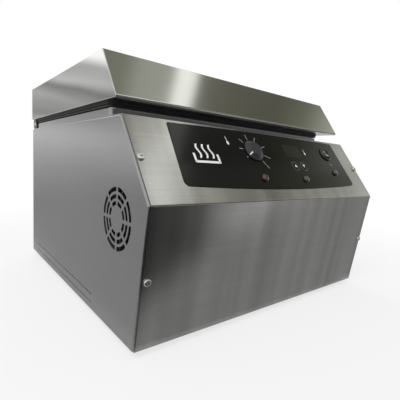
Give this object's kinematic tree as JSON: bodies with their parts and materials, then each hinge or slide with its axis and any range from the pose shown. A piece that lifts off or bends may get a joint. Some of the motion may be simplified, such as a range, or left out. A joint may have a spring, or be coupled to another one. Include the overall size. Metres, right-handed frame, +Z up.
{
  "type": "laboratory heated bath",
  "caption": "Bench-top heated laboratory bath: sheet-steel cabinet with a sloped control panel, side fan grille, insulated well and a rear-hinged insulated lid.",
  "frame": {"origin": "bottom centre of the whole object's bounding box, on the surface the feet stand on", "axes": "+X right seen from the front, front faces -Y, +Z up"},
  "size_m": [0.421, 0.4732, 0.3132],
  "materials": {
    "brushed_side": "satin brushed stainless sheet, fine horizontal grain",
    "brushed_front": "brushed stainless sheet, fine vertical streaks",
    "polished_lid": "finely polished stainless sheet",
    "well_steel": "drawn stainless tank, satin",
    "plated_steel": "zinc plated steel sheet",
    "screw_steel": "bright nickel plated",
    "hinge_steel": "satin grey hinge",
    "overlay_black": "gloss black printed film",
    "knob_black": "satin black moulded plastic",
    "switch_black": "black moulded plastic",
    "print_white": "white inlay",
    "ring_grey": "grey ring",
    "window_smoke": "smoked clear window",
    "lens_amber": "amber red lens",
    "lens_grey": "grey lens",
    "lens_dark": "dark lens",
    "gasket_black": "matt black silicone",
    "foot_rubber": "matt black rubber",
    "insulation": "mineral wool block",
    "lid_foam": "rigid foam",
    "heater_red": "silicone rubber mat",
    "board_green": "printed circuit board",
    "part_black": "black component bodies",
    "part_grey": "grey moulded body",
    "transformer": "varnished core and yellow tape",
    "brass": "plain brass"
  },
  "bodies": {
    "cabinet": {"base_pan": "plated_steel", "base_screws": "screw_steel", "board_parts": "part_black", "board_posts": "brass", "control_overlay": "overlay_black", "controller_board": "board_green", "display_module": "part_black", "display_window": "window_smoke", "fan_frame": "part_black", "fan_studs": "screw_steel", "feet": "foot_rubber", "foot_screws": "screw_steel", "front_panel": "brushed_front", "front_screws": "screw_steel", "fuse_holder": "switch_black", "heater_mat": "heater_red", "heater_relay": "part_grey", "heating_lamp": "lens_grey", "hinge_base_leaves": "hinge_steel", "hinge_base_screws": "screw_steel", "hinge_pins": "screw_steel", "inlet_pins": "brass", "key_rings": "ring_grey", "key_switches": "part_black", "left_side_panel": "brushed_side", "limit_lamp": "lens_amber", "limit_probe": "screw_steel", "limit_thermostat": "part_grey", "lock_nuts": "screw_steel", "module_screws": "screw_steel", "power_inlet": "switch_black", "power_lamp": "lens_dark", "rear_panel": "brushed_side", "rear_screws": "screw_steel", "right_side_panel": "brushed_side", "rim_collar": "brushed_side", "rocker_housing": "switch_black", "supply_board": "board_green", "supply_capacitors": "part_black", "supply_posts": "brass", "supply_transformer": "transformer", "support_rails": "plated_steel", "temperature_probe": "screw_steel", "terminal_block": "part_grey", "top_deck": "brushed_side", "well": "well_steel", "well_insulation": "insulation"},
    "lid": {"lid_shell": "polished_lid", "lid_liner": "well_steel", "lid_insulation": "lid_foam", "lid_gasket": "gasket_black", "hinge_lid_leaves": "hinge_steel", "hinge_lid_screws": "screw_steel"},
    "knob": {"limit_knob": "knob_black", "knob_pointer": "print_white", "thermostat_shaft": "screw_steel"},
    "key_up": {"up_key": "overlay_black"},
    "key_down": {"down_key": "overlay_black"},
    "rocker": {"power_rocker": "switch_black"},
    "fan": {"fan_rotor": "part_black"}
  },
  "joints": [
    {"name": "lid_hinge", "type": "hinge", "parent": "cabinet", "child": "lid", "pos_m": [0, 0.22555, 0.2516], "axis": [-1, 0, 0], "range_deg": [0, 100]},
    {"name": "knob_turn", "type": "hinge", "parent": "cabinet", "child": "knob", "pos_m": [-0.0372, -0.19419, 0.21392], "axis": [0, 0.8046, -0.5939], "range_deg": [0, 270]},
    {"name": "up_key_press", "type": "slide", "parent": "cabinet", "child": "key_up", "axis": [0, 0.8046, -0.5939], "range_m": [0, 0.0006], "stiffness_N_per_m": 800},
    {"name": "down_key_press", "type": "slide", "parent": "cabinet", "child": "key_down", "axis": [0, 0.8046, -0.5939], "range_m": [0, 0.0006], "stiffness_N_per_m": 800},
    {"name": "rocker_tilt", "type": "hinge", "parent": "cabinet", "child": "rocker", "pos_m": [0.1342, -0.18884, 0.2178], "axis": [1, 0, 0], "range_deg": [0, 16]},
    {"name": "fan_spin", "type": "hinge", "parent": "cabinet", "child": "fan", "pos_m": [-0.2, -0.17075, 0.1335], "axis": [1, 0, 0], "continuous": true}
  ]
}
